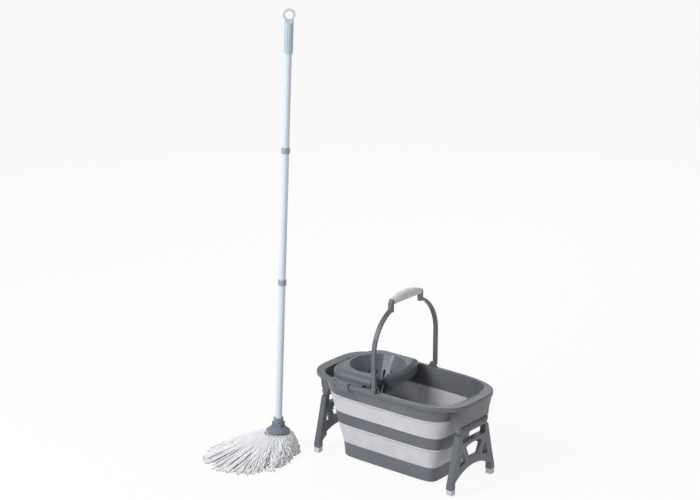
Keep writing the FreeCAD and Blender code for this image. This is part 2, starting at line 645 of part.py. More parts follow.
def handle_half_face():
    """Flat outline, in the Y-Z plane, of the arm at +Y with its step up to the grip bar."""
    y = arm_centre_y()
    half = ARM_THICKNESS / 2
    start = PIVOT_Z + ARM_STRAIGHT
    rise, run = SHOULDER_Z - start, y - SHOULDER_HALF
    half_turn = math.atan2(run, rise)
    radius = rise / math.sin(2 * half_turn)
    centre = V(0, y - radius, start)

    def on(r, share):
        t = 2 * half_turn * share
        return centre + V(0, r * math.cos(t), r * math.sin(t))
    outer, inner = radius + half, radius - half
    foot = V(0, y, PIVOT_Z)
    edges = [
        arc(foot + V(0, half, 0), foot - V(0, 0, half), foot - V(0, half, 0)),
        line(foot + V(0, half, 0), on(outer, 0)),
        arc(on(outer, 0), on(outer, 0.5), on(outer, 1)),
        line(on(outer, 1), on(inner, 1)),
        arc(on(inner, 1), on(inner, 0.5), on(inner, 0)),
        line(on(inner, 0), foot - V(0, half, 0))]
    return Part.Face(chain(*edges))


def crowned_face(low, high):
    """Face in the Y-Z plane between two levels, both arched up like the grip bar."""
    reach = GRIP_HALF_LENGTH + 4
    return Part.Face(chain(
        arc(V(0, -reach, low), V(0, 0, low + GRIP_CROWN), V(0, reach, low)),
        line(V(0, reach, low), V(0, reach, high)),
        arc(V(0, reach, high), V(0, 0, high + GRIP_CROWN), V(0, -reach, high)),
        line(V(0, -reach, high), V(0, -reach, low))))


def make_handle():
    push = V(ARM_DEPTH, 0, 0)
    arm = handle_half_face().extrude(push)
    block = GRIP_HALF_LENGTH + GRIP_FIT
    out = SHOULDER_HALF + SHOULDER_STEP
    step = prism([V(0, block, SHOULDER_Z - 2 * SHOULDER_STEP), V(0, out, SHOULDER_Z - 5),
                  V(0, out, GRIP_BAR_Z - 2), V(0, out - 5, GRIP_BAR_Z + GRIP_CROWN),
                  V(0, block, GRIP_BAR_Z + GRIP_CROWN)], push)
    half_core = GRIP_CORE_HEIGHT / 2
    bar = crowned_face(GRIP_BAR_Z - half_core, GRIP_BAR_Z + half_core).extrude(push)
    half = arm.fuse(step)
    body = half.fuse([mirrored(half, Y_AXIS), bar])
    body.translate(V(PIVOT_X - ARM_DEPTH / 2, 0, 0))
    pegs = []
    peg_length = EAR_THICKNESS + EAR_INSET + HANDLE_SIDE_GAP + ARM_THICKNESS / 2
    for side in (-1, 1):
        y = side * (arm_centre_y() - peg_length / 2)
        pegs.append(rod(V(PIVOT_X, y, PIVOT_Z), Y_AXIS, HANDLE_PEG_DIAMETER, peg_length))
        eye = V(PIVOT_X, side * arm_centre_y(), PIVOT_Z)
        pegs.append(rod(eye, Y_AXIS, ARM_DEPTH, ARM_THICKNESS))
    return one(body.fuse(pegs))


def make_grips():
    """The two soft halves that clip round the grip bar, meeting on its middle plane."""
    bar_z = GRIP_BAR_Z
    sections = []
    for share in (-1.0, -0.55, 0.0, 0.55, 1.0):
        y = share * GRIP_HALF_LENGTH
        size = GRIP_END_SHARE + (1 - GRIP_END_SHARE) * math.cos(share * math.pi / 2)
        z = bar_z + GRIP_CROWN * (1 - share * share)
        ellipse = Part.Ellipse(V(PIVOT_X, y, z), GRIP_HALF_DEPTH * size, GRIP_HALF_HEIGHT * size)
        edge = ellipse.toShape()
        edge.rotate(V(PIVOT_X, y, z), X_AXIS, 90)
        sections.append(Part.Wire(edge))
    body = Part.makeLoft(sections, True, False)
    half_core = GRIP_CORE_HEIGHT / 2 + GRIP_FIT
    channel = crowned_face(bar_z - half_core, bar_z + half_core)
    slot = channel.extrude(V(ARM_DEPTH + 2 * GRIP_FIT, 0, 0))
    slot.translate(V(PIVOT_X - ARM_DEPTH / 2 - GRIP_FIT, 0, 0))
    cut_depth = 3 * GRIP_HALF_DEPTH
    upper_half = crowned_face(bar_z, bar_z + 3 * GRIP_HALF_HEIGHT).extrude(V(cut_depth, 0, 0))
    upper_half.translate(V(PIVOT_X - cut_depth / 2, 0, 0))
    body = body.cut(slot)
    return one(body.common(upper_half)), one(body.cut(upper_half))


# ---------------------------------------------------------------- wringer
def tray_outline(grow=0.0):
    """Plan of the tray: rounded at the far end of the bucket, bowed on the inner side."""
    x0, w = TRAY_LEFT_X - grow, TRAY_HALF_WIDTH + grow
    r = TRAY_CORNER_RADIUS + grow
    far_x, bow_x = TRAY_FAR_X + grow, TRAY_RIGHT_X + grow
    turn = r * math.cos(math.radians(45))
    cx = x0 + r
    return Part.Face(chain(
        line(V(far_x, -w, 0), V(cx, -w, 0)),
        arc(V(cx, -w, 0), V(cx - turn, -w + r - turn, 0), V(x0, -w + r, 0)),
        line(V(x0, -w + r, 0), V(x0, w - r, 0)),
        arc(V(x0, w - r, 0), V(cx - turn, w - r + turn, 0), V(cx, w, 0)),
        line(V(cx, w, 0), V(far_x, w, 0)),
        arc(V(far_x, w, 0), V(bow_x, 0, 0), V(far_x, -w, 0))))


def tray_notch(radius):
    """U-shaped bite out of the near inner corner, clear of the handle's ear."""
    way = math.radians(NOTCH_ANGLE)
    long = V(math.cos(way), math.sin(way), 0)
    side = V(-math.sin(way), math.cos(way), 0) * radius
    start = V(NOTCH_X, NOTCH_Y, 0)
    end = start + long * 90
    bite = prism([start + side, end + side, end - side, start - side], V(0, 0, RIM_TOP_Z * 2))
    return bite.fuse(post(NOTCH_X, NOTCH_Y, 0, RIM_TOP_Z * 2, 2 * radius))


def tray_block(inset):
    """Domed block; the inset one is the hollow under the tray."""
    solid = tray_outline(-inset).extrude(V(0, 0, TRAY_TOP_Z - TRAY_SKIRT_Z - inset))
    solid.translate(V(0, 0, TRAY_SKIRT_Z))
    top = TRAY_TOP_Z - inset
    edges = [e for e in solid.Edges if abs(e.BoundBox.ZMin - top) < 0.01]
    solid = solid.makeFillet(TRAY_EDGE_RADIUS - inset, edges)
    return solid.cut(tray_notch(NOTCH_RADIUS + inset))


def tray_ledges():
    """Ledges that rest on the two long sides of the rim, each with a hook over its edge."""
    z0 = RIM_TOP_Z
    outer_y = RIM_WIDTH / 2 - LEDGE_INSET
    ledge = box(LEDGE_LEFT_X, LEDGE_RIGHT_X, TRAY_HALF_WIDTH - TRAY_WALL, outer_y,
                z0, z0 + LEDGE_THICKNESS)
    hook_y = RIM_HALF[1] + HOOK_GAP
    top = box(HOOK_LEFT_X, HOOK_RIGHT_X, outer_y - 1, hook_y + HOOK_WALL, z0,
              z0 + LEDGE_THICKNESS)
    drop = box(HOOK_LEFT_X, HOOK_RIGHT_X, hook_y, hook_y + HOOK_WALL, z0 - HOOK_DROP,
               z0 + LEDGE_THICKNESS)
    corners = [e for e in drop.Edges if abs(e.tangentAt(e.FirstParameter).y) > 0.999
               and e.BoundBox.ZMax < z0]
    drop = drop.makeFillet(HOOK_CORNER_RADIUS, corners)
    return pair(ledge.fuse([top, drop]), Y_AXIS)


def cone_radius(depth):
    """Inner radius of the cone at a depth below the tray's top."""
    return CONE_TOP_RADIUS + (CONE_BOTTOM_RADIUS - CONE_TOP_RADIUS) * depth / CONE_DEPTH


def fluted_outline(depth):
    """Outline of the cone's inside: a flat facet at each slot, with a narrow rib between."""
    radius, points = cone_radius(depth), []
    for i in range(SLOT_COUNT):
        for turn in (-FLUTE_HALF_ANGLE, FLUTE_HALF_ANGLE):
            t = math.radians(SLOT_PHASE + 360 * i / SLOT_COUNT + turn)
            points.append(V(CONE_X + radius * math.cos(t), radius * math.sin(t),
                            TRAY_TOP_Z - depth))
    return polygon(points)


def cone_slots():
    slots = []
    z1 = TRAY_TOP_Z - SLOT_FROM_DEPTH
    z0 = TRAY_TOP_Z - SLOT_TO_DEPTH
    for i in range(SLOT_COUNT):
        cutter = box(SLOT_INNER_RADIUS, CONE_TOP_RADIUS, -SLOT_WIDTH / 2, SLOT_WIDTH / 2, z0, z1)
        cutter.translate(V(CONE_X, 0, 0))
        cutter.rotate(V(CONE_X, 0, 0), Z_AXIS, SLOT_PHASE + 360 * i / SLOT_COUNT)
        slots.append(cutter)
    for i in range(DRAIN_COUNT):
        t = 2 * math.pi * i / DRAIN_COUNT
        x = CONE_X + DRAIN_RING_RADIUS * math.cos(t)
        y = DRAIN_RING_RADIUS * math.sin(t)
        slots.append(post(x, y, TRAY_TOP_Z - CONE_DEPTH - 5, TRAY_TOP_Z - CONE_DEPTH + 10,
                          DRAIN_HOLE_DIAMETER))
    return slots


def make_wringer():
    bottom = TRAY_TOP_Z - CONE_DEPTH
    centre = V(CONE_X, 0, 0)
    outer = Part.makeCone(CONE_BOTTOM_RADIUS + CONE_WALL, CONE_TOP_RADIUS + CONE_WALL,
                          CONE_DEPTH, centre + V(0, 0, bottom))
    inner = loft(fluted_outline(CONE_DEPTH - CONE_FLOOR), fluted_outline(0))
    block = tray_block(0)
    below = box(TRAY_LEFT_X, TRAY_RIGHT_X, -TRAY_HALF_WIDTH, TRAY_HALF_WIDTH, bottom - 1,
                TRAY_SKIRT_Z + 1)
    cup = outer.common(block.fuse(below))
    shell = block.cut(tray_block(TRAY_WALL))
    body = shell.fuse([cup] + tray_ledges())
    return one(body.cut([inner] + cone_slots()))


# ---------------------------------------------------------------- mop
def place_on_pole(shape):
    """Move a piece built upright on the Z axis to the leaning pole."""
    shape = shape.copy()
    t = math.radians(LEAN_TOWARDS)
    shape.rotate(V(0, 0, 0), V(-math.sin(t), math.cos(t), 0), LEAN_DEGREES)
    shape.translate(V(MOP_X, MOP_Y, 0))
    return shape


def tube(z0, z1):
    outer = post(0, 0, z0, z1, TUBE_DIAMETER)
    return outer.cut(post(0, 0, z0 - 1, z1 + 1, TUBE_DIAMETER - 2 * TUBE_WALL))


def coupling_nut(z):
    """Nut half of a pole joint: pressed down into the tube below, with the visible collar."""
    body = post(0, 0, z - SPIGOT_LENGTH, z, SPIGOT_DIAMETER)
    body = body.fuse(post(0, 0, z, z + COUPLING_HEIGHT / 2, COUPLING_DIAMETER))
    bore = THREAD_DIAMETER + 2 * THREAD_FIT
    floor_z = z - SPIGOT_LENGTH + SPIGOT_FLOOR
    return one(body.cut(post(0, 0, floor_z, z + COUPLING_HEIGHT, bore)))


def coupling_screw(z):
    """Screw half of a pole joint: pressed up into the tube above, screwed into the nut."""
    middle, top = z + COUPLING_HEIGHT / 2, z + COUPLING_HEIGHT
    body = post(0, 0, middle, top, COUPLING_DIAMETER)
    body = body.fuse(post(0, 0, top, top + SPIGOT_LENGTH, SPIGOT_DIAMETER))
    return one(body.fuse(post(0, 0, middle - THREAD_LENGTH, top, THREAD_DIAMETER)))


def grip_cap(across):
    """Top of the pole's grip, as wide as the grip and flattened to the ring's thickness."""
    shoulder_z = HANG_RING_Z - HANG_HOLE_DIAMETER / 2 - 1
    half, thin = GRIP_DIAMETER / 2, HANG_RING_THICKNESS / 2
    spade = prism([V(-half, 0, GRIP_TOP_Z - 1), V(half, 0, GRIP_TOP_Z - 1),
                   V(half, 0, GRIP_TOP_Z), V(thin, 0, shoulder_z), V(thin, 0, HANG_RING_Z),
                   V(-thin, 0, HANG_RING_Z), V(-thin, 0, shoulder_z), V(-half, 0, GRIP_TOP_Z)],
                  V(0, GRIP_DIAMETER, 0))
    spade.translate(V(0, -half, 0))
    spade.rotate(V(0, 0, 0), Z_AXIS, math.degrees(math.atan2(across.y, across.x)))
    return spade.common(post(0, 0, GRIP_TOP_Z - 1, HANG_RING_Z, GRIP_DIAMETER))


def make_pole_grip():
    axis_angle = math.radians(LEAN_TOWARDS + 90)
    axis = V(math.cos(axis_angle), math.sin(axis_angle), 0)
    body = post(0, 0, GRIP_BOTTOM_Z, GRIP_TOP_Z, GRIP_DIAMETER)
    flutes = []
    for i in range(FLUTE_COUNT):
        t = 2 * math.pi * i / FLUTE_COUNT
        r = GRIP_DIAMETER / 2 + FLUTE_DIAMETER / 4
        flutes.append(post(r * math.cos(t), r * math.sin(t), GRIP_BOTTOM_Z + FLUTE_END_GAP,
                           GRIP_TOP_Z - FLUTE_END_GAP, FLUTE_DIAMETER))
    body = body.cut(flutes)
    body = body.fuse(grip_cap(axis))
    body = body.fuse(rod(V(0, 0, HANG_RING_Z), axis, HANG_RING_DIAMETER, HANG_RING_THICKNESS))
    body = body.cut(rod(V(0, 0, HANG_RING_Z), axis, HANG_HOLE_DIAMETER, 4 * GRIP_DIAMETER))
    bore = TUBE_DIAMETER + 2 * GRIP_BORE_FIT
    return one(body.cut(post(0, 0, GRIP_BOTTOM_Z - 1, GRIP_TOP_Z - GRIP_BORE_FLOOR, bore)))


def make_pole_foot():
    """Threaded plug pressed into the lower end of the pole; it screws into the mop socket."""
    body = post(0, 0, TUBE_BOTTOM_Z, TUBE_BOTTOM_Z + SPIGOT_LENGTH, SPIGOT_DIAMETER)
    return one(body.fuse(post(0, 0, SOCKET_FLARE_Z + PLUG_TIP_GAP, TUBE_BOTTOM_Z + 1,
                              SOCKET_THREAD_DIAMETER)))


def make_socket():
    """Mop socket: a neck with grip tabs over a flared skirt, bored for the pole."""
    body = post(0, 0, SOCKET_FLARE_TOP_Z, SOCKET_TOP_Z, SOCKET_NECK_DIAMETER)
    flare = Part.makeCone(SOCKET_FLARE_DIAMETER / 2, SOCKET_TAB_DIAMETER / 2,
                          SOCKET_FLARE_HEIGHT, V(0, 0, SOCKET_FLARE_Z))
    body = body.fuse(flare)
    tabs = []
    for i in range(TAB_COUNT):
        tab = box(0, SOCKET_TAB_DIAMETER / 2, -TAB_WIDTH / 2, TAB_WIDTH / 2,
                  SOCKET_FLARE_TOP_Z - 2, SOCKET_FLARE_TOP_Z + SOCKET_TAB_HEIGHT)
        tab.rotate(V(0, 0, 0), Z_AXIS, 360 * i / TAB_COUNT + TAB_PHASE)
        tabs.append(tab)
    body = body.fuse(tabs)
    hollow = Part.makeCone(SOCKET_FLARE_DIAMETER / 2 - SOCKET_WALL,
                           SOCKET_TAB_DIAMETER / 2 - SOCKET_WALL,
                           SOCKET_FLARE_HEIGHT - SOCKET_WALL, V(0, 0, SOCKET_FLARE_Z))
    body = body.cut(hollow)
    body = body.fuse(post(0, 0, SOCKET_FLARE_Z, SOCKET_FLARE_TOP_Z, SOCKET_BOSS_DIAMETER))
    thread = post(0, 0, SOCKET_FLARE_Z - 1, SOCKET_TOP_Z + 1,
                  SOCKET_THREAD_DIAMETER + 2 * THREAD_FIT)
    seat = post(0, 0, TUBE_BOTTOM_Z - 2, SOCKET_TOP_Z + 1, TUBE_DIAMETER + 2 * THREAD_FIT)
    return one(body.cut([thread, seat]))


def make_retainer():
    """Ring pressed up under the socket that traps the middle of the yarns."""
    z = SOCKET_FLARE_Z - RETAINER_HEIGHT
    body = Part.makeCone(RETAINER_DIAMETER / 2 - RETAINER_CHAMFER, RETAINER_DIAMETER / 2,
                         RETAINER_CHAMFER, V(0, 0, z))
    body = body.fuse(post(0, 0, z + RETAINER_CHAMFER, SOCKET_FLARE_Z, RETAINER_DIAMETER))
    return one(body.cut(post(0, 0, z - 1, SOCKET_FLARE_Z + 1, SOCKET_BOSS_DIAMETER)))


def yarn_wire(z, low):
    """Outline of the yarn pile at height z; it shrinks to the neck from its widest level, low."""
    rise = max(0.0, (z - low) / (YARN_TOP_Z - low))
    points = []
    for i in range(YARN_OUTLINE_POINTS):
        t = 2 * math.pi * i / YARN_OUTLINE_POINTS
        turn = t - math.radians(YARN_TRAIL_TOWARDS)
        reach = YARN_REACH + YARN_TRAIL * math.cos(turn) + YARN_STRETCH * math.cos(2 * turn)
        away = (1 - math.cos(turn)) / 2
        dome = YARN_DOME_TRAIL + (YARN_DOME_AWAY - YARN_DOME_TRAIL) * away
        share = (1 - rise) ** (1 / dome)
        if z < low:
            share = YARN_UNDERCUT
        r = YARN_NECK_RADIUS + (reach - YARN_NECK_RADIUS) * share
        points.append(V(MOP_X + r * math.cos(t), MOP_Y + r * math.sin(t), z))
    curve = Part.BSplineCurve()
    curve.interpolate(points, PeriodicFlag=True)
    return Part.Wire(curve.toShape())


def make_yarns():
    """The cotton yarns as one closed pile lying on the floor under the socket."""
    levels = [0, YARN_FOOT_Z] + [share * YARN_TOP_Z for share in YARN_LEVELS] + [YARN_TOP_Z]
    return loft(*[yarn_wire(z, YARN_FOOT_Z) for z in levels])


# ---------------------------------------------------------------- all pieces
def build():
    nodes = {}
    nodes["bucket_rim"] = make_rim()
    nodes["band_upper"] = make_band_upper()
    nodes["ring_middle"] = make_ring()
    nodes["band_lower"] = make_band_lower()
    nodes["base_pan"] = make_base()
    leg = make_leg()
    nodes["leg_right"] = leg
    nodes["leg_left"] = mirrored(leg, X_AXIS)
    caps = make_foot_caps()
    nodes["foot_caps_right"] = caps
    nodes["foot_caps_left"] = mirrored(caps, X_AXIS)
    nodes["leg_hinge_pins"] = make_hinge_pins()
    nodes["handle_bail"] = make_handle()
    upper, lower = make_grips()
    nodes["handle_grip_upper"] = upper
    nodes["handle_grip_lower"] = lower
    nodes["wringer_tray"] = make_wringer()
    nodes["pole_tube_lower"] = place_on_pole(tube(TUBE_BOTTOM_Z, JOINT_LOWER_Z))
    nodes["pole_tube_middle"] = place_on_pole(
        tube(JOINT_LOWER_Z + COUPLING_HEIGHT, JOINT_UPPER_Z))
    nodes["pole_tube_upper"] = place_on_pole(
        tube(JOINT_UPPER_Z + COUPLING_HEIGHT, TUBE_TOP_Z))
    nodes["coupling_nut_lower"] = place_on_pole(coupling_nut(JOINT_LOWER_Z))
    nodes["coupling_screw_lower"] = place_on_pole(coupling_screw(JOINT_LOWER_Z))
    nodes["coupling_nut_upper"] = place_on_pole(coupling_nut(JOINT_UPPER_Z))
    nodes["coupling_screw_upper"] = place_on_pole(coupling_screw(JOINT_UPPER_Z))
    nodes["pole_grip"] = place_on_pole(make_pole_grip())
    nodes["pole_foot_plug"] = place_on_pole(make_pole_foot())
    nodes["mop_socket"] = place_on_pole(make_socket())
    nodes["yarn_retainer"] = place_on_pole(make_retainer())
    nodes["mop_yarns"] = make_yarns()
    return nodes


def centre_footprint(nodes):
    """Move all pieces together so that their common box is centred on the Z axis."""
    box_all = Part.makeCompound(list(nodes.values())).optimalBoundingBox()
    shift = V(-box_all.Center.x, -box_all.Center.y, 0)
    print("bucket centre at", round(shift.x, 3), round(shift.y, 3))
    moved = {}
    for name, shape in nodes.items():
        shape.translate(shift)
        moved[name] = shape
    return moved


def main():
    os.makedirs("parts", exist_ok=True)
    for name, shape in centre_footprint(build()).items():
        shape.exportStep("parts/" + name + ".step")
        print(name, "solids", len(shape.Solids), "valid", shape.isValid(),
              "volume", round(shape.Volume))


main()
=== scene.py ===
# %% [markdown]
# # A string mop and a collapsible bucket with a wringer
# The measured model of every part comes in first. It is a fixed frame: each part sits where the
# maker put it, in metres, and nothing here moves it. Blender's work is the finish of each part, and
# the soft pieces that a measured solid can only hint at. All places are read from the frame.

# %% Load the frame
import math
import bpy
import numpy as np
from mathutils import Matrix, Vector


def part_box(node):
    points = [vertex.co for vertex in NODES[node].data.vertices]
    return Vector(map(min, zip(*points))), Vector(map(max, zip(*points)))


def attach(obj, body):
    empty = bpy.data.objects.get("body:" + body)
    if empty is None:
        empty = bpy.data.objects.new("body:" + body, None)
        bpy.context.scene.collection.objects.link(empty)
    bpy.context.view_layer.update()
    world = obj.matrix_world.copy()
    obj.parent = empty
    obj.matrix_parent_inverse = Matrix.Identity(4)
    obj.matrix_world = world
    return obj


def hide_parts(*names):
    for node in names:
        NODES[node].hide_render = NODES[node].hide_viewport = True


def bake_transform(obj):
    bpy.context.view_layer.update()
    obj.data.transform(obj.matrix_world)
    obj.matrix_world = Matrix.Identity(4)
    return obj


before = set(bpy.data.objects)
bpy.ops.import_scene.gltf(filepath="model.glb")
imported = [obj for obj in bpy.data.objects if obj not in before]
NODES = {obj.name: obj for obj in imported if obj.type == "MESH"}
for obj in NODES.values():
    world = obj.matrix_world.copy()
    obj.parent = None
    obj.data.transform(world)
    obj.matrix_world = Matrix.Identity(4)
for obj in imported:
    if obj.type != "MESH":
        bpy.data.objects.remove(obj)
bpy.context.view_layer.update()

MM = 0.001
print("parts in the frame:", len(NODES))

# %% [markdown]
# Every step below starts from a clean selection, because an operator acts on all that is selected.
# These helpers pick one object, and run an operator on it in edit mode with all of it selected.

# %% Selection helpers
def pick(obj):
    bpy.ops.object.select_all(action="DESELECT")
    bpy.context.view_layer.objects.active = obj
    obj.select_set(True)
    return obj


def edit(obj):
    pick(obj)
    bpy.ops.object.mode_set(mode="EDIT")
    bpy.ops.mesh.select_all(action="SELECT")


def leave_edit():
    bpy.ops.object.mode_set(mode="OBJECT")


def middle(node):
    low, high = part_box(node)
    return (low + high) / 2


BUCKET = middle("bucket_rim")
print("bucket stands about", [round(v, 3) for v in BUCKET[:2]])

# %% [markdown]
# ## Camera
# A long lens from some way off keeps the pole straight and the bucket's sides nearly parallel. The
# camera stands in front of the pouring end and a little above the rim, and looks down on the set.

# %% Camera
CAMERA_FROM_BUCKET = Vector((2.538, -3.361, 0.0))
CAMERA_HEIGHT = 1.852
CAMERA_YAW = 39.0
CAMERA_DIP = 16.6
CAMERA_LENS = 86.76
CAMERA_SEES_TO = 100

bpy.ops.object.camera_add()
camera = bpy.context.object
camera.name = "camera"
camera.location = (BUCKET.x + CAMERA_FROM_BUCKET.x, BUCKET.y + CAMERA_FROM_BUCKET.y, CAMERA_HEIGHT)
camera.rotation_euler = (math.radians(90 - CAMERA_DIP), 0, math.radians(CAMERA_YAW))
camera.data.lens = CAMERA_LENS
camera.data.clip_end = CAMERA_SEES_TO
bpy.context.scene.camera = camera
bpy.context.scene.view_settings.view_transform = "Standard"

# %% [markdown]
# ## Floor and light
# The floor is one wide pale plane. More light on the set would make it white, but it would also
# bleach the set. So only the rays that look at the floor itself, straight or in a gloss, see it
# mostly as plain white. The rest of what they see is matt paper, and that keeps a faint shadow.
# Every other ray meets the paper alone.

# %% Floor
FLOOR_COLOUR = (0.90, 0.90, 0.91, 1)
FLOOR_GLOW = 0.9
FLOOR_SIZE = 60


def seen_directly(tree):
    """1 for camera, glossy and transmission rays: what looks at the background itself."""
    path = tree.nodes.new("ShaderNodeLightPath")
    total = path.outputs["Is Camera Ray"]
    for ray in ("Is Glossy Ray", "Is Transmission Ray"):
        add = tree.nodes.new("ShaderNodeMath")
        add.operation = "MAXIMUM"
        tree.links.new(total, add.inputs[0])
        tree.links.new(path.outputs[ray], add.inputs[1])
        total = add.outputs[0]
    return total


bpy.ops.mesh.primitive_plane_add(size=FLOOR_SIZE)
floor = bpy.context.object
floor.name = "floor"
paper = bpy.data.materials.new("pale_paper")
paper.use_nodes = True
tree = paper.node_tree
paper_shader = tree.nodes["Principled BSDF"]
paper_shader.inputs["Base Color"].default_value = FLOOR_COLOUR
paper_shader.inputs["Roughness"].default_value = 0.9
paper_shader.inputs["Specular IOR Level"].default_value = 0.1
glow = tree.nodes.new("ShaderNodeEmission")
glow.inputs["Color"].default_value = (1, 1, 1, 1)
share = tree.nodes.new("ShaderNodeMath")
share.operation = "MULTIPLY"
share.inputs[1].default_value = FLOOR_GLOW
tree.links.new(seen_directly(tree), share.inputs[0])
mix = tree.nodes.new("ShaderNodeMixShader")
tree.links.new(share.outputs[0], mix.inputs["Fac"])
tree.links.new(paper_shader.outputs[0], mix.inputs[1])
tree.links.new(glow.outputs[0], mix.inputs[2])
tree.links.new(mix.outputs[0], tree.nodes["Material Output"].inputs["Surface"])
floor.data.materials.append(paper)

# %% [markdown]
# The world is a dim, even light from all round, as white studio walls give. The camera alone sees
# it at full white, so the background is pale while the light on the set stays plain.

# %% World
WORLD_LIGHT = 0.46
world = bpy.data.worlds.new("studio")
bpy.context.scene.world = world
world.use_nodes = True
tree = world.node_tree
sky = tree.nodes["Background"]
sky.inputs["Color"].default_value = (1, 1, 1, 1)
level = tree.nodes.new("ShaderNodeMapRange")
level.inputs["To Min"].default_value = WORLD_LIGHT
level.inputs["To Max"].default_value = 1.0
camera_only = tree.nodes.new("ShaderNodeLightPath")
tree.links.new(camera_only.outputs["Is Camera Ray"], level.inputs["Value"])
tree.links.new(level.outputs[0], sky.inputs["Strength"])

# %% [markdown]
# A large lamp to the left of the camera gives the long highlights of moulded plastic. A weak one
# on the right and one from behind open the shadows. All three look at the middle of the bucket.

# %% Lamps
AIM_HEIGHT = 0.25


def lamp(name, from_bucket, size, power):
    """A soft square lamp that looks at the middle of the bucket."""
    data = bpy.data.lights.new(name, "AREA")
    data.size = size
    data.energy = power
    obj = bpy.data.objects.new(name, data)
    bpy.context.scene.collection.objects.link(obj)
    obj.location = Vector((BUCKET.x, BUCKET.y, 0)) + Vector(from_bucket)
    aim = Vector((BUCKET.x, BUCKET.y, AIM_HEIGHT)) - obj.location
    obj.rotation_euler = aim.to_track_quat("-Z", "Y").to_euler()


lamp("lamp_key", (-1.1, -2.9, 2.2), 1.6, 84)
lamp("lamp_fill", (3.0, -0.2, 1.8), 1.8, 4)
lamp("lamp_back", (-1.4, 2.4, 2.6), 1.2, 26)
print("lamps set")

# %% [markdown]
# ## Finishes
# Each finish is a small graph on Object coordinates, in metres, so that its grain has one real size
# on every part. A slow noise shifts the colour a little, as pigment does in a moulding. A faster
# one changes the gloss, as handling does. The finest is a bump: the grain of the mould, the orange
# peel of powder paint, or the fibres of cotton. A mould also leaves each sharp edge a little round.
# The bevel node bends the shading there, and the mesh stays as it was measured.

# %% Finish helper
FIELD_LOW, FIELD_HIGH = 0.3, 0.7
EDGE_SAMPLES = 6


def srgb(r, g, b):
    """Linear colour of a paint chip given in the usual 0 to 255 steps."""
    def linear(c):
        c = c / 255
        return c / 12.92 if c <= 0.04045 else ((c + 0.055) / 1.055) ** 2.4
    return (linear(r), linear(g), linear(b), 1)


def noise(tree, scale, detail=3.0, stretch=(1, 1, 1)):
    """A noise field on Object coordinates, with about scale features to the metre."""
    where = tree.nodes.new("ShaderNodeTexCoord")
    place = tree.nodes.new("ShaderNodeMapping")
    place.inputs["Scale"].default_value = stretch
    field = tree.nodes.new("ShaderNodeTexNoise")
    field.inputs["Scale"].default_value = scale
    field.inputs["Detail"].default_value = detail
    tree.links.new(where.outputs["Object"], place.inputs["Vector"])
    tree.links.new(place.outputs["Vector"], field.inputs["Vector"])
    return field.outputs["Fac"]


def ramp(tree, fac, low, high, a, b):
    """Colour or number that goes from a to b as the field goes from low to high."""
    if isinstance(a, tuple):
        node = tree.nodes.new("ShaderNodeValToRGB")
        node.color_ramp.elements[0].position = low
        node.color_ramp.elements[0].color = a
        node.color_ramp.elements[1].position = high
        node.color_ramp.elements[1].color = b
        tree.links.new(fac, node.inputs["Fac"])
        return node.outputs["Color"]
    node = tree.nodes.new("ShaderNodeMapRange")
    for key, value in (("From Min", low), ("From Max", high), ("To Min", a), ("To Max", b)):
        node.inputs[key].default_value = value
    tree.links.new(fac, node.inputs["Value"])
    return node.outputs["Result"]


def finish(name, dark, light, tone, gloss, grain, sockets=(), stretch=(1, 1, 1),
           edge=0.8 * MM):
    """A finish: tone is the scale of the colour shift, gloss (scale, low, high) the roughness
    field, grain (scale, height in metres) the bump, sockets the fixed shader values, and edge
    the radius that the mould leaves on a sharp edge."""
    material = bpy.data.materials.new(name)
    material.use_nodes = True
    tree = material.node_tree
    shader = tree.nodes["Principled BSDF"]
    tree.links.new(ramp(tree, noise(tree, tone), FIELD_LOW, FIELD_HIGH, dark, light),
                   shader.inputs["Base Color"])
    tree.links.new(ramp(tree, noise(tree, gloss[0]), FIELD_LOW, FIELD_HIGH,
                        gloss[1], gloss[2]),
                   shader.inputs["Roughness"])
    bump = tree.nodes.new("ShaderNodeBump")
    bump.inputs["Distance"].default_value = grain[1]
    bump.inputs["Strength"].default_value = 1.0
    tree.links.new(noise(tree, grain[0], 2.0, stretch), bump.inputs["Height"])
    round_edge = tree.nodes.new("ShaderNodeBevel")
    round_edge.samples = EDGE_SAMPLES
    round_edge.inputs["Radius"].default_value = edge
    tree.links.new(round_edge.outputs["Normal"], bump.inputs["Normal"])
    tree.links.new(bump.outputs["Normal"], shader.inputs["Normal"])
    for key, value in dict(sockets).items():
        shader.inputs[key].default_value = value
    return material


# %% [markdown]
# Polypropylene for the hard parts of the bucket is slate grey with a satin skin, and the wringer's
# is a little bluer. The soft bands are a matt rubber, paler and a little dusty. The pole is steel
# under pale powder paint, and its plastic pieces are blue-grey. The yarn is bleached cotton, with
# only a little subsurface light: with much of it, yarns as thin as these rendered far darker.

# %% Finishes
SLATE = finish("slate_polypropylene", srgb(92, 95, 102), srgb(104, 107, 114), 14,
               (60, 0.30, 0.42), (900, 0.00008), {"Specular IOR Level": 0.5})
WRINGER_SLATE = finish("wringer_polypropylene", srgb(90, 98, 107), srgb(102, 110, 119), 14,
                       (60, 0.28, 0.40), (900, 0.00008), {"Specular IOR Level": 0.5})
RUBBER = finish("pale_soft_rubber", srgb(194, 194, 199), srgb(206, 206, 211), 22,
                (90, 0.52, 0.66), (1400, 0.00006), {"Sheen Weight": 0.1})
GRIP_RUBBER = finish("grip_rubber", srgb(198, 200, 203), srgb(210, 212, 215), 40,
                     (120, 0.45, 0.6), (1600, 0.00008), {"Sheen Weight": 0.1})
PAINT = finish("powder_paint", srgb(202, 212, 222), srgb(211, 221, 231), 9,
               (50, 0.24, 0.34), (700, 0.00005), {"Coat Weight": 0.25, "Coat Roughness": 0.12})
GRIP_BLUE = finish("pale_blue_grip", srgb(176, 191, 201), srgb(187, 201, 210), 50,
                   (140, 0.36, 0.48), (1500, 0.00006))
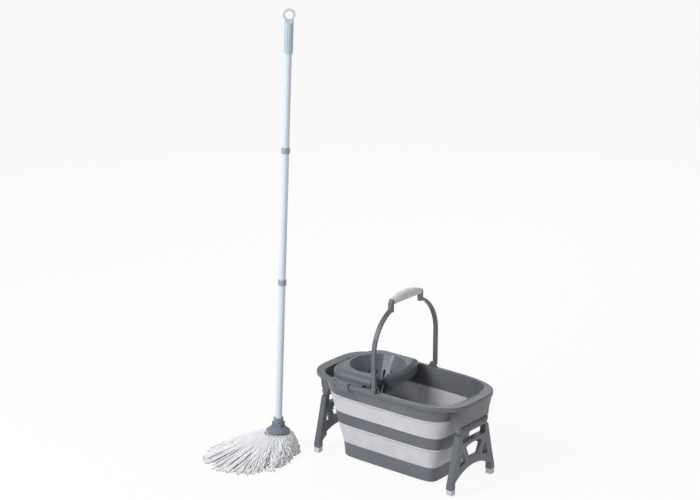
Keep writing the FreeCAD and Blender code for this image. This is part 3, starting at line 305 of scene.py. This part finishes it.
BLUE_GREY = finish("blue_grey_plastic", srgb(142, 154, 164), srgb(153, 164, 174), 50,
                   (140, 0.36, 0.48), (1500, 0.00006))
SOCKET = finish("socket_plastic", srgb(112, 125, 138), srgb(124, 137, 150), 60,
                (140, 0.38, 0.5), (1500, 0.00006))
WHITE = finish("white_plastic", srgb(214, 222, 232), srgb(224, 231, 239), 60,
               (140, 0.35, 0.48), (1500, 0.00005))
STEEL = finish("drawn_steel", srgb(150, 150, 152), srgb(172, 172, 174), 300,
               (900, 0.28, 0.4), (1200, 0.00004), {"Metallic": 1.0}, stretch=(1, 0.05, 1))
COTTON = finish("twisted_cotton", srgb(234, 235, 238), srgb(243, 244, 246), 75,
                (400, 0.8, 0.95), (1800, 0.0001), {"Sheen Weight": 0.3, "Specular IOR Level": 0.2,
                 "Subsurface Weight": 0.15, "Subsurface Radius": (1, 1, 1),
                 "Subsurface Scale": 1 * MM})
FINISHES = {
    SLATE: ["bucket_rim", "ring_middle", "base_pan", "leg_right", "leg_left", "handle_bail"],
    WRINGER_SLATE: ["wringer_tray"],
    RUBBER: ["foot_caps_right", "foot_caps_left"],
    GRIP_RUBBER: ["handle_grip_upper", "handle_grip_lower"],
    STEEL: ["leg_hinge_pins"],
    PAINT: ["pole_tube_lower", "pole_tube_middle", "pole_tube_upper"],
    GRIP_BLUE: ["pole_grip"],
    BLUE_GREY: ["coupling_nut_lower", "coupling_screw_lower",
                "coupling_nut_upper", "coupling_screw_upper", "pole_foot_plug"],
    SOCKET: ["mop_socket"],
    WHITE: ["yarn_retainer"],
}
for material, names in FINISHES.items():
    for node in names:
        NODES[node].data.materials.clear()
        NODES[node].data.materials.append(material)
print("finishes given to", sum(len(n) for n in FINISHES.values()), "parts")

# %% [markdown]
# ## Soft bands
# The two pale bands are what lets the bucket fold flat, so each must bend between the hard ring
# above it and the one below it. A copy of the measured band keeps the joints with its neighbours
# exact. Level cuts give it rows of points to bend at.

# %% Band helper
BAND_ROWS = 14
MERGE_DISTANCE = 0.01 * MM
SMOOTH_BELOW = math.radians(35)


def soft_band(node, name):
    obj = bpy.data.objects.new(name, NODES[node].data.copy())
    bpy.context.scene.collection.objects.link(obj)
    low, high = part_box(node)
    edit(obj)
    bpy.ops.mesh.remove_doubles(threshold=MERGE_DISTANCE)
    for row in range(1, BAND_ROWS):
        bpy.ops.mesh.select_all(action="SELECT")
        height = low.z + (high.z - low.z) * row / BAND_ROWS
        bpy.ops.mesh.bisect(plane_co=(0, 0, height), plane_no=(0, 0, 1))
    leave_edit()
    bpy.ops.object.shade_smooth_by_angle(angle=SMOOTH_BELOW)
    obj.data.materials.clear()
    obj.data.materials.append(RUBBER)
    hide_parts(node)
    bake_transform(obj)
    print(name, "has", len(obj.data.polygons), "faces")


soft_band("band_upper", "soft_band_upper")
soft_band("band_lower", "soft_band_lower")

# %% [markdown]
# ## Cotton yarns
# A mop head is a bundle of loosely twisted yarns, trapped under the socket. Each yarn here is a
# smooth curve with a three-lobed section, and the section turns along it as three plies do. The
# curve leaves the socket all round, goes over the shoulder of the pile and down to the floor, and
# is drawn to the side that the mop was pulled towards. Where it has less way to go it waves more.
# Real yarns have one length. These don't: the shape of the pile sets each one's way, which was
# chosen because it holds the outline. They are not simulated, and inside the pile they cross.

# %% Yarn values
YARN_RADIUS = 2.3 * MM
YARN_PITCH = 0.022
YARN_POINTS = 19
YARN_SWAY = 0.016
STRAIGHT_REACH = 0.235
BEND_SHARE = (0.03, 0.34)
WAVES = (1.4, 3.2)
WAVE_ONSET = 2.5
INWARD_SHARE, INWARD_PACE = 0.3, 1.4
END_HOOK = 0.010
FLOOR_LEVEL = 1.3 * YARN_RADIUS
PILE_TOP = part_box("mop_yarns")[1].z
NECK = middle("yarn_retainer")
NECK_RADIUS = 23 * MM
TRAIL_TOWARDS = math.radians(249)
REACH_MEAN, REACH_TRAIL, REACH_STRETCH = 0.100, 0.098, 0.022
REACH_LEAST = 0.062
DOME_TRAIL, DOME_AWAY = 1.3, 2.6


def reach(angle):
    """How far the yarns lie from the socket in that direction."""
    turn = angle - TRAIL_TOWARDS
    way = REACH_MEAN + REACH_TRAIL * math.cos(turn) + REACH_STRETCH * math.cos(2 * turn)
    return max(REACH_LEAST, way)


def dome(angle):
    """Roundness of the pile's shoulder: little along the trail, full on the side away from it."""
    away = (1 - math.cos(angle - TRAIL_TOWARDS)) / 2
    return DOME_TRAIL + (DOME_AWAY - DOME_TRAIL) * away


def yarn(chance, depth):
    """Points of one yarn: out from under the socket, over the shoulder, and down to the floor.
    depth is its share of the pile's full reach."""
    start = chance.uniform(0, 2 * math.pi)
    drag = (TRAIL_TOWARDS - start + math.pi) % (2 * math.pi) - math.pi
    bend = chance.uniform(*BEND_SHARE) * drag
    phase = chance.uniform(0, 2 * math.pi)
    waves = chance.uniform(*WAVES)
    hook = chance.uniform(-1, 1)
    points = []
    for i in range(YARN_POINTS):
        s = i / (YARN_POINTS - 1)
        angle = start + bend * s
        roundness = dome(angle)
        out = s ** (2 / (1 + roundness))
        spare = max(0.0, STRAIGHT_REACH - reach(angle)) / STRAIGHT_REACH
        swing = spare * YARN_SWAY * min(1.0, WAVE_ONSET * s)
        radius = NECK_RADIUS + (reach(angle) * depth - NECK_RADIUS) * out
        pace = 2 * math.pi * waves * INWARD_PACE
        radius -= INWARD_SHARE * swing * (1 + math.cos(pace * s + phase))
        sway = swing * math.sin(2 * math.pi * waves * s + phase) + END_HOOK * hook * s ** 3
        height = FLOOR_LEVEL + (PILE_TOP - FLOOR_LEVEL) * (1 - out ** roundness)
        cos, sin = math.cos(angle), math.sin(angle)
        points.append((NECK.x + radius * cos - sway * sin,
                       NECK.y + radius * sin + sway * cos, height))
    return points


# %% [markdown]
# One small closed curve is the section of all the yarns. Each bundle is one curve object with many
# splines, and it becomes one mesh. The deep yarns fill the pile, and the top ones are its surface.

# %% Yarn curves
PLIES = 3
SECTION_POINTS = 9
PLY_MEAN, PLY_DEPTH = 0.94, 0.09
YARN_THICKNESS = (0.88, 1.1)


def yarn_section():
    """Three soft lobes, as the plies of a yarn show in its cut end."""
    bpy.ops.curve.primitive_nurbs_circle_add(radius=YARN_RADIUS)
    section = bpy.context.object
    section.data.splines.clear()
    ring = section.data.splines.new("POLY")
    ring.points.add(SECTION_POINTS - 1)
    for i, point in enumerate(ring.points):
        t = 2 * math.pi * i / SECTION_POINTS
        r = YARN_RADIUS * (PLY_MEAN + PLY_DEPTH * math.cos(PLIES * t))
        point.co = (r * math.cos(t), r * math.sin(t), 0, 1)
    ring.use_cyclic_u = True
    return section


def yarn_bundle(name, count, seed, depths):
    """Many yarns as one mesh. depths are the least and most share of the pile's full reach."""
    chance = np.random.RandomState(seed)
    data = bpy.data.curves.new(name, "CURVE")
    data.dimensions = "3D"
    data.resolution_u = 3
    data.use_fill_caps = True
    for i in range(count):
        points = yarn(chance, chance.uniform(*depths))
        spline = data.splines.new("NURBS")
        spline.points.add(len(points) - 1)
        along = 0.0
        first = chance.uniform(0, 2 * math.pi)
        for j, (point, place) in enumerate(zip(spline.points, points)):
            if j:
                along += math.dist(place, points[j - 1])
            point.co = (*place, 1)
            point.tilt = first + 2 * math.pi * along / YARN_PITCH
            point.radius = chance.uniform(*YARN_THICKNESS)
        spline.order_u = 4
        spline.use_endpoint_u = True
    section = yarn_section()
    data.bevel_mode = "OBJECT"
    data.bevel_object = section
    obj = bpy.data.objects.new(name, data)
    bpy.context.scene.collection.objects.link(obj)
    pick(obj)
    bpy.ops.object.convert(target="MESH")
    obj = bpy.context.object
    bpy.ops.object.shade_smooth()
    obj.data.materials.append(COTTON)
    bpy.data.objects.remove(section)
    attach(obj, "mop")
    print(name, "has", len(obj.data.polygons), "faces")
    return obj


yarn_bundle("yarns_deep", 150, 3, (0.70, 0.88))
yarn_bundle("yarns_middle", 170, 5, (0.86, 0.96))
top_yarns = yarn_bundle("yarns_top", 170, 8, (0.94, 1.0))
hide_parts("mop_yarns")
